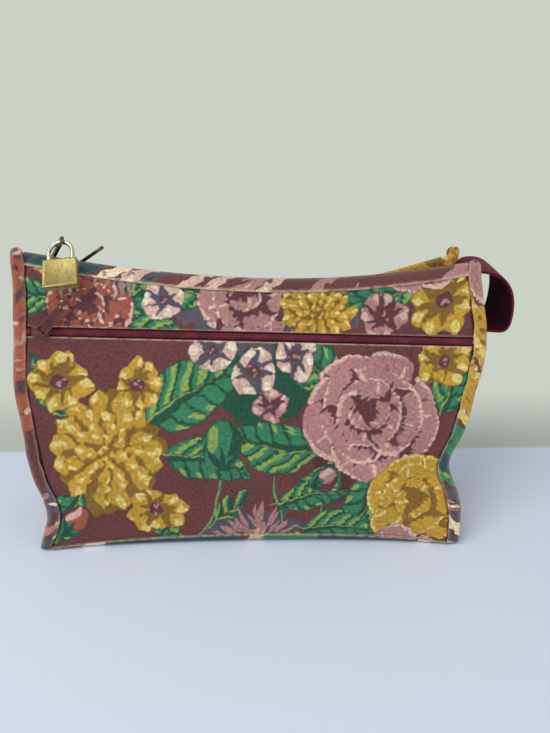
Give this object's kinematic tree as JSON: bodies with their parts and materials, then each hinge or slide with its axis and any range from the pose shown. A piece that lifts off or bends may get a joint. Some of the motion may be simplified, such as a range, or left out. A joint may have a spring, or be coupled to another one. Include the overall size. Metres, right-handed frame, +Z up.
{
  "type": "cosmetic pouch",
  "caption": "soft floral cosmetic pouch with a front zip pocket, bound side seams, a sagging zipped top, a webbing grab loop and a small brass padlock on a zip pull",
  "frame": {"origin": "on the floor, under the middle of the base panel", "axes": "+X along the zips towards the grab loop, +Y towards the back, +Z up"},
  "size_m": [0.3289, 0.0936, 0.2043],
  "materials": {
    "printed_cloth": "laminated cotton chintz with a floral print",
    "pocket_lining": "plain woven lining",
    "binding_cloth": "folded strips of the printed cloth",
    "zip_tape": "woven zip tape",
    "zip_coil": "nylon coil",
    "bronze_metal": "aged dark bronze",
    "enamel_metal": "worn brown enamel",
    "webbing": "woven webbing",
    "lock_brass": "brushed brass",
    "lock_steel": "polished steel"
  },
  "bodies": {
    "pouch": {"front_upper_strip": "printed_cloth", "pocket_front": "printed_cloth", "bottom_panel": "printed_cloth", "back_panel": "printed_cloth", "left_gusset": "printed_cloth", "right_gusset": "printed_cloth", "pocket_backing": "pocket_lining", "left_binding": "binding_cloth", "right_binding": "binding_cloth", "front_top_band": "binding_cloth", "back_top_band": "binding_cloth", "main_tape_front": "zip_tape", "main_tape_back": "zip_tape", "pocket_tape_upper": "zip_tape", "pocket_tape_lower": "zip_tape", "main_coil_front": "zip_coil", "main_coil_back": "zip_coil", "pocket_coil_upper": "zip_coil", "pocket_coil_lower": "zip_coil", "grab_strap": "webbing"},
    "left_slider": {"main_slider_left": "bronze_metal"},
    "left_pull": {"main_pull_left": "bronze_metal"},
    "shackle": {"lock_shackle": "lock_steel"},
    "lock": {"lock_body": "lock_brass"},
    "plug": {"lock_plug": "lock_steel"},
    "right_slider": {"main_slider_right": "bronze_metal"},
    "right_pull": {"main_pull_right": "bronze_metal"},
    "front_slider": {"pocket_slider": "enamel_metal"},
    "front_pull": {"pocket_pull": "enamel_metal"}
  },
  "joints": [
    {"name": "left_slider_travel", "type": "hinge", "parent": "pouch", "child": "left_slider", "pos_m": [0, 0.0025, 1.052], "axis": [0, -1, 0], "range_deg": [0, 0.19]},
    {"name": "left_pull_swing", "type": "hinge", "parent": "left_slider", "child": "left_pull", "pos_m": [-0.12934, 0.0025, 0.18606], "axis": [0, -0.788, -0.6157], "range_deg": [0, 12]},
    {"name": "lock_swing", "type": "hinge", "parent": "left_pull", "child": "shackle", "pos_m": [-0.11736, -0.00886, 0.2006], "axis": [-0.9903, -0.0949, -0.1018], "range_deg": [0, 45]},
    {"name": "lock_open", "type": "slide", "parent": "shackle", "child": "lock", "axis": [0.1392, -0.6754, -0.7242], "range_m": [0, 0.006]},
    {"name": "key_turn", "type": "hinge", "parent": "lock", "child": "plug", "pos_m": [-0.11284, -0.03081, 0.17706], "axis": [-0.1392, 0.6754, 0.7242], "range_deg": [0, 90]},
    {"name": "right_slider_travel", "type": "hinge", "parent": "pouch", "child": "right_slider", "pos_m": [0, 0.0025, 1.052], "axis": [0, -1, 0], "range_deg": [0, 15.8]},
    {"name": "right_pull_swing", "type": "hinge", "parent": "right_slider", "child": "right_pull", "pos_m": [-0.11615, 0.0025, 0.18237], "axis": [0, -1, 0], "range_deg": [0, 50]},
    {"name": "pocket_slider_travel", "type": "slide", "parent": "pouch", "child": "front_slider", "axis": [0.9997, -0.0042, -0.0258], "range_m": [0, 0.264]},
    {"name": "pocket_pull_swing", "type": "hinge", "parent": "front_slider", "child": "front_pull", "pos_m": [-0.13095, -0.0267, 0.14811], "axis": [0.6756, -0.1179, -0.7278], "range_deg": [0, 110]}
  ]
}
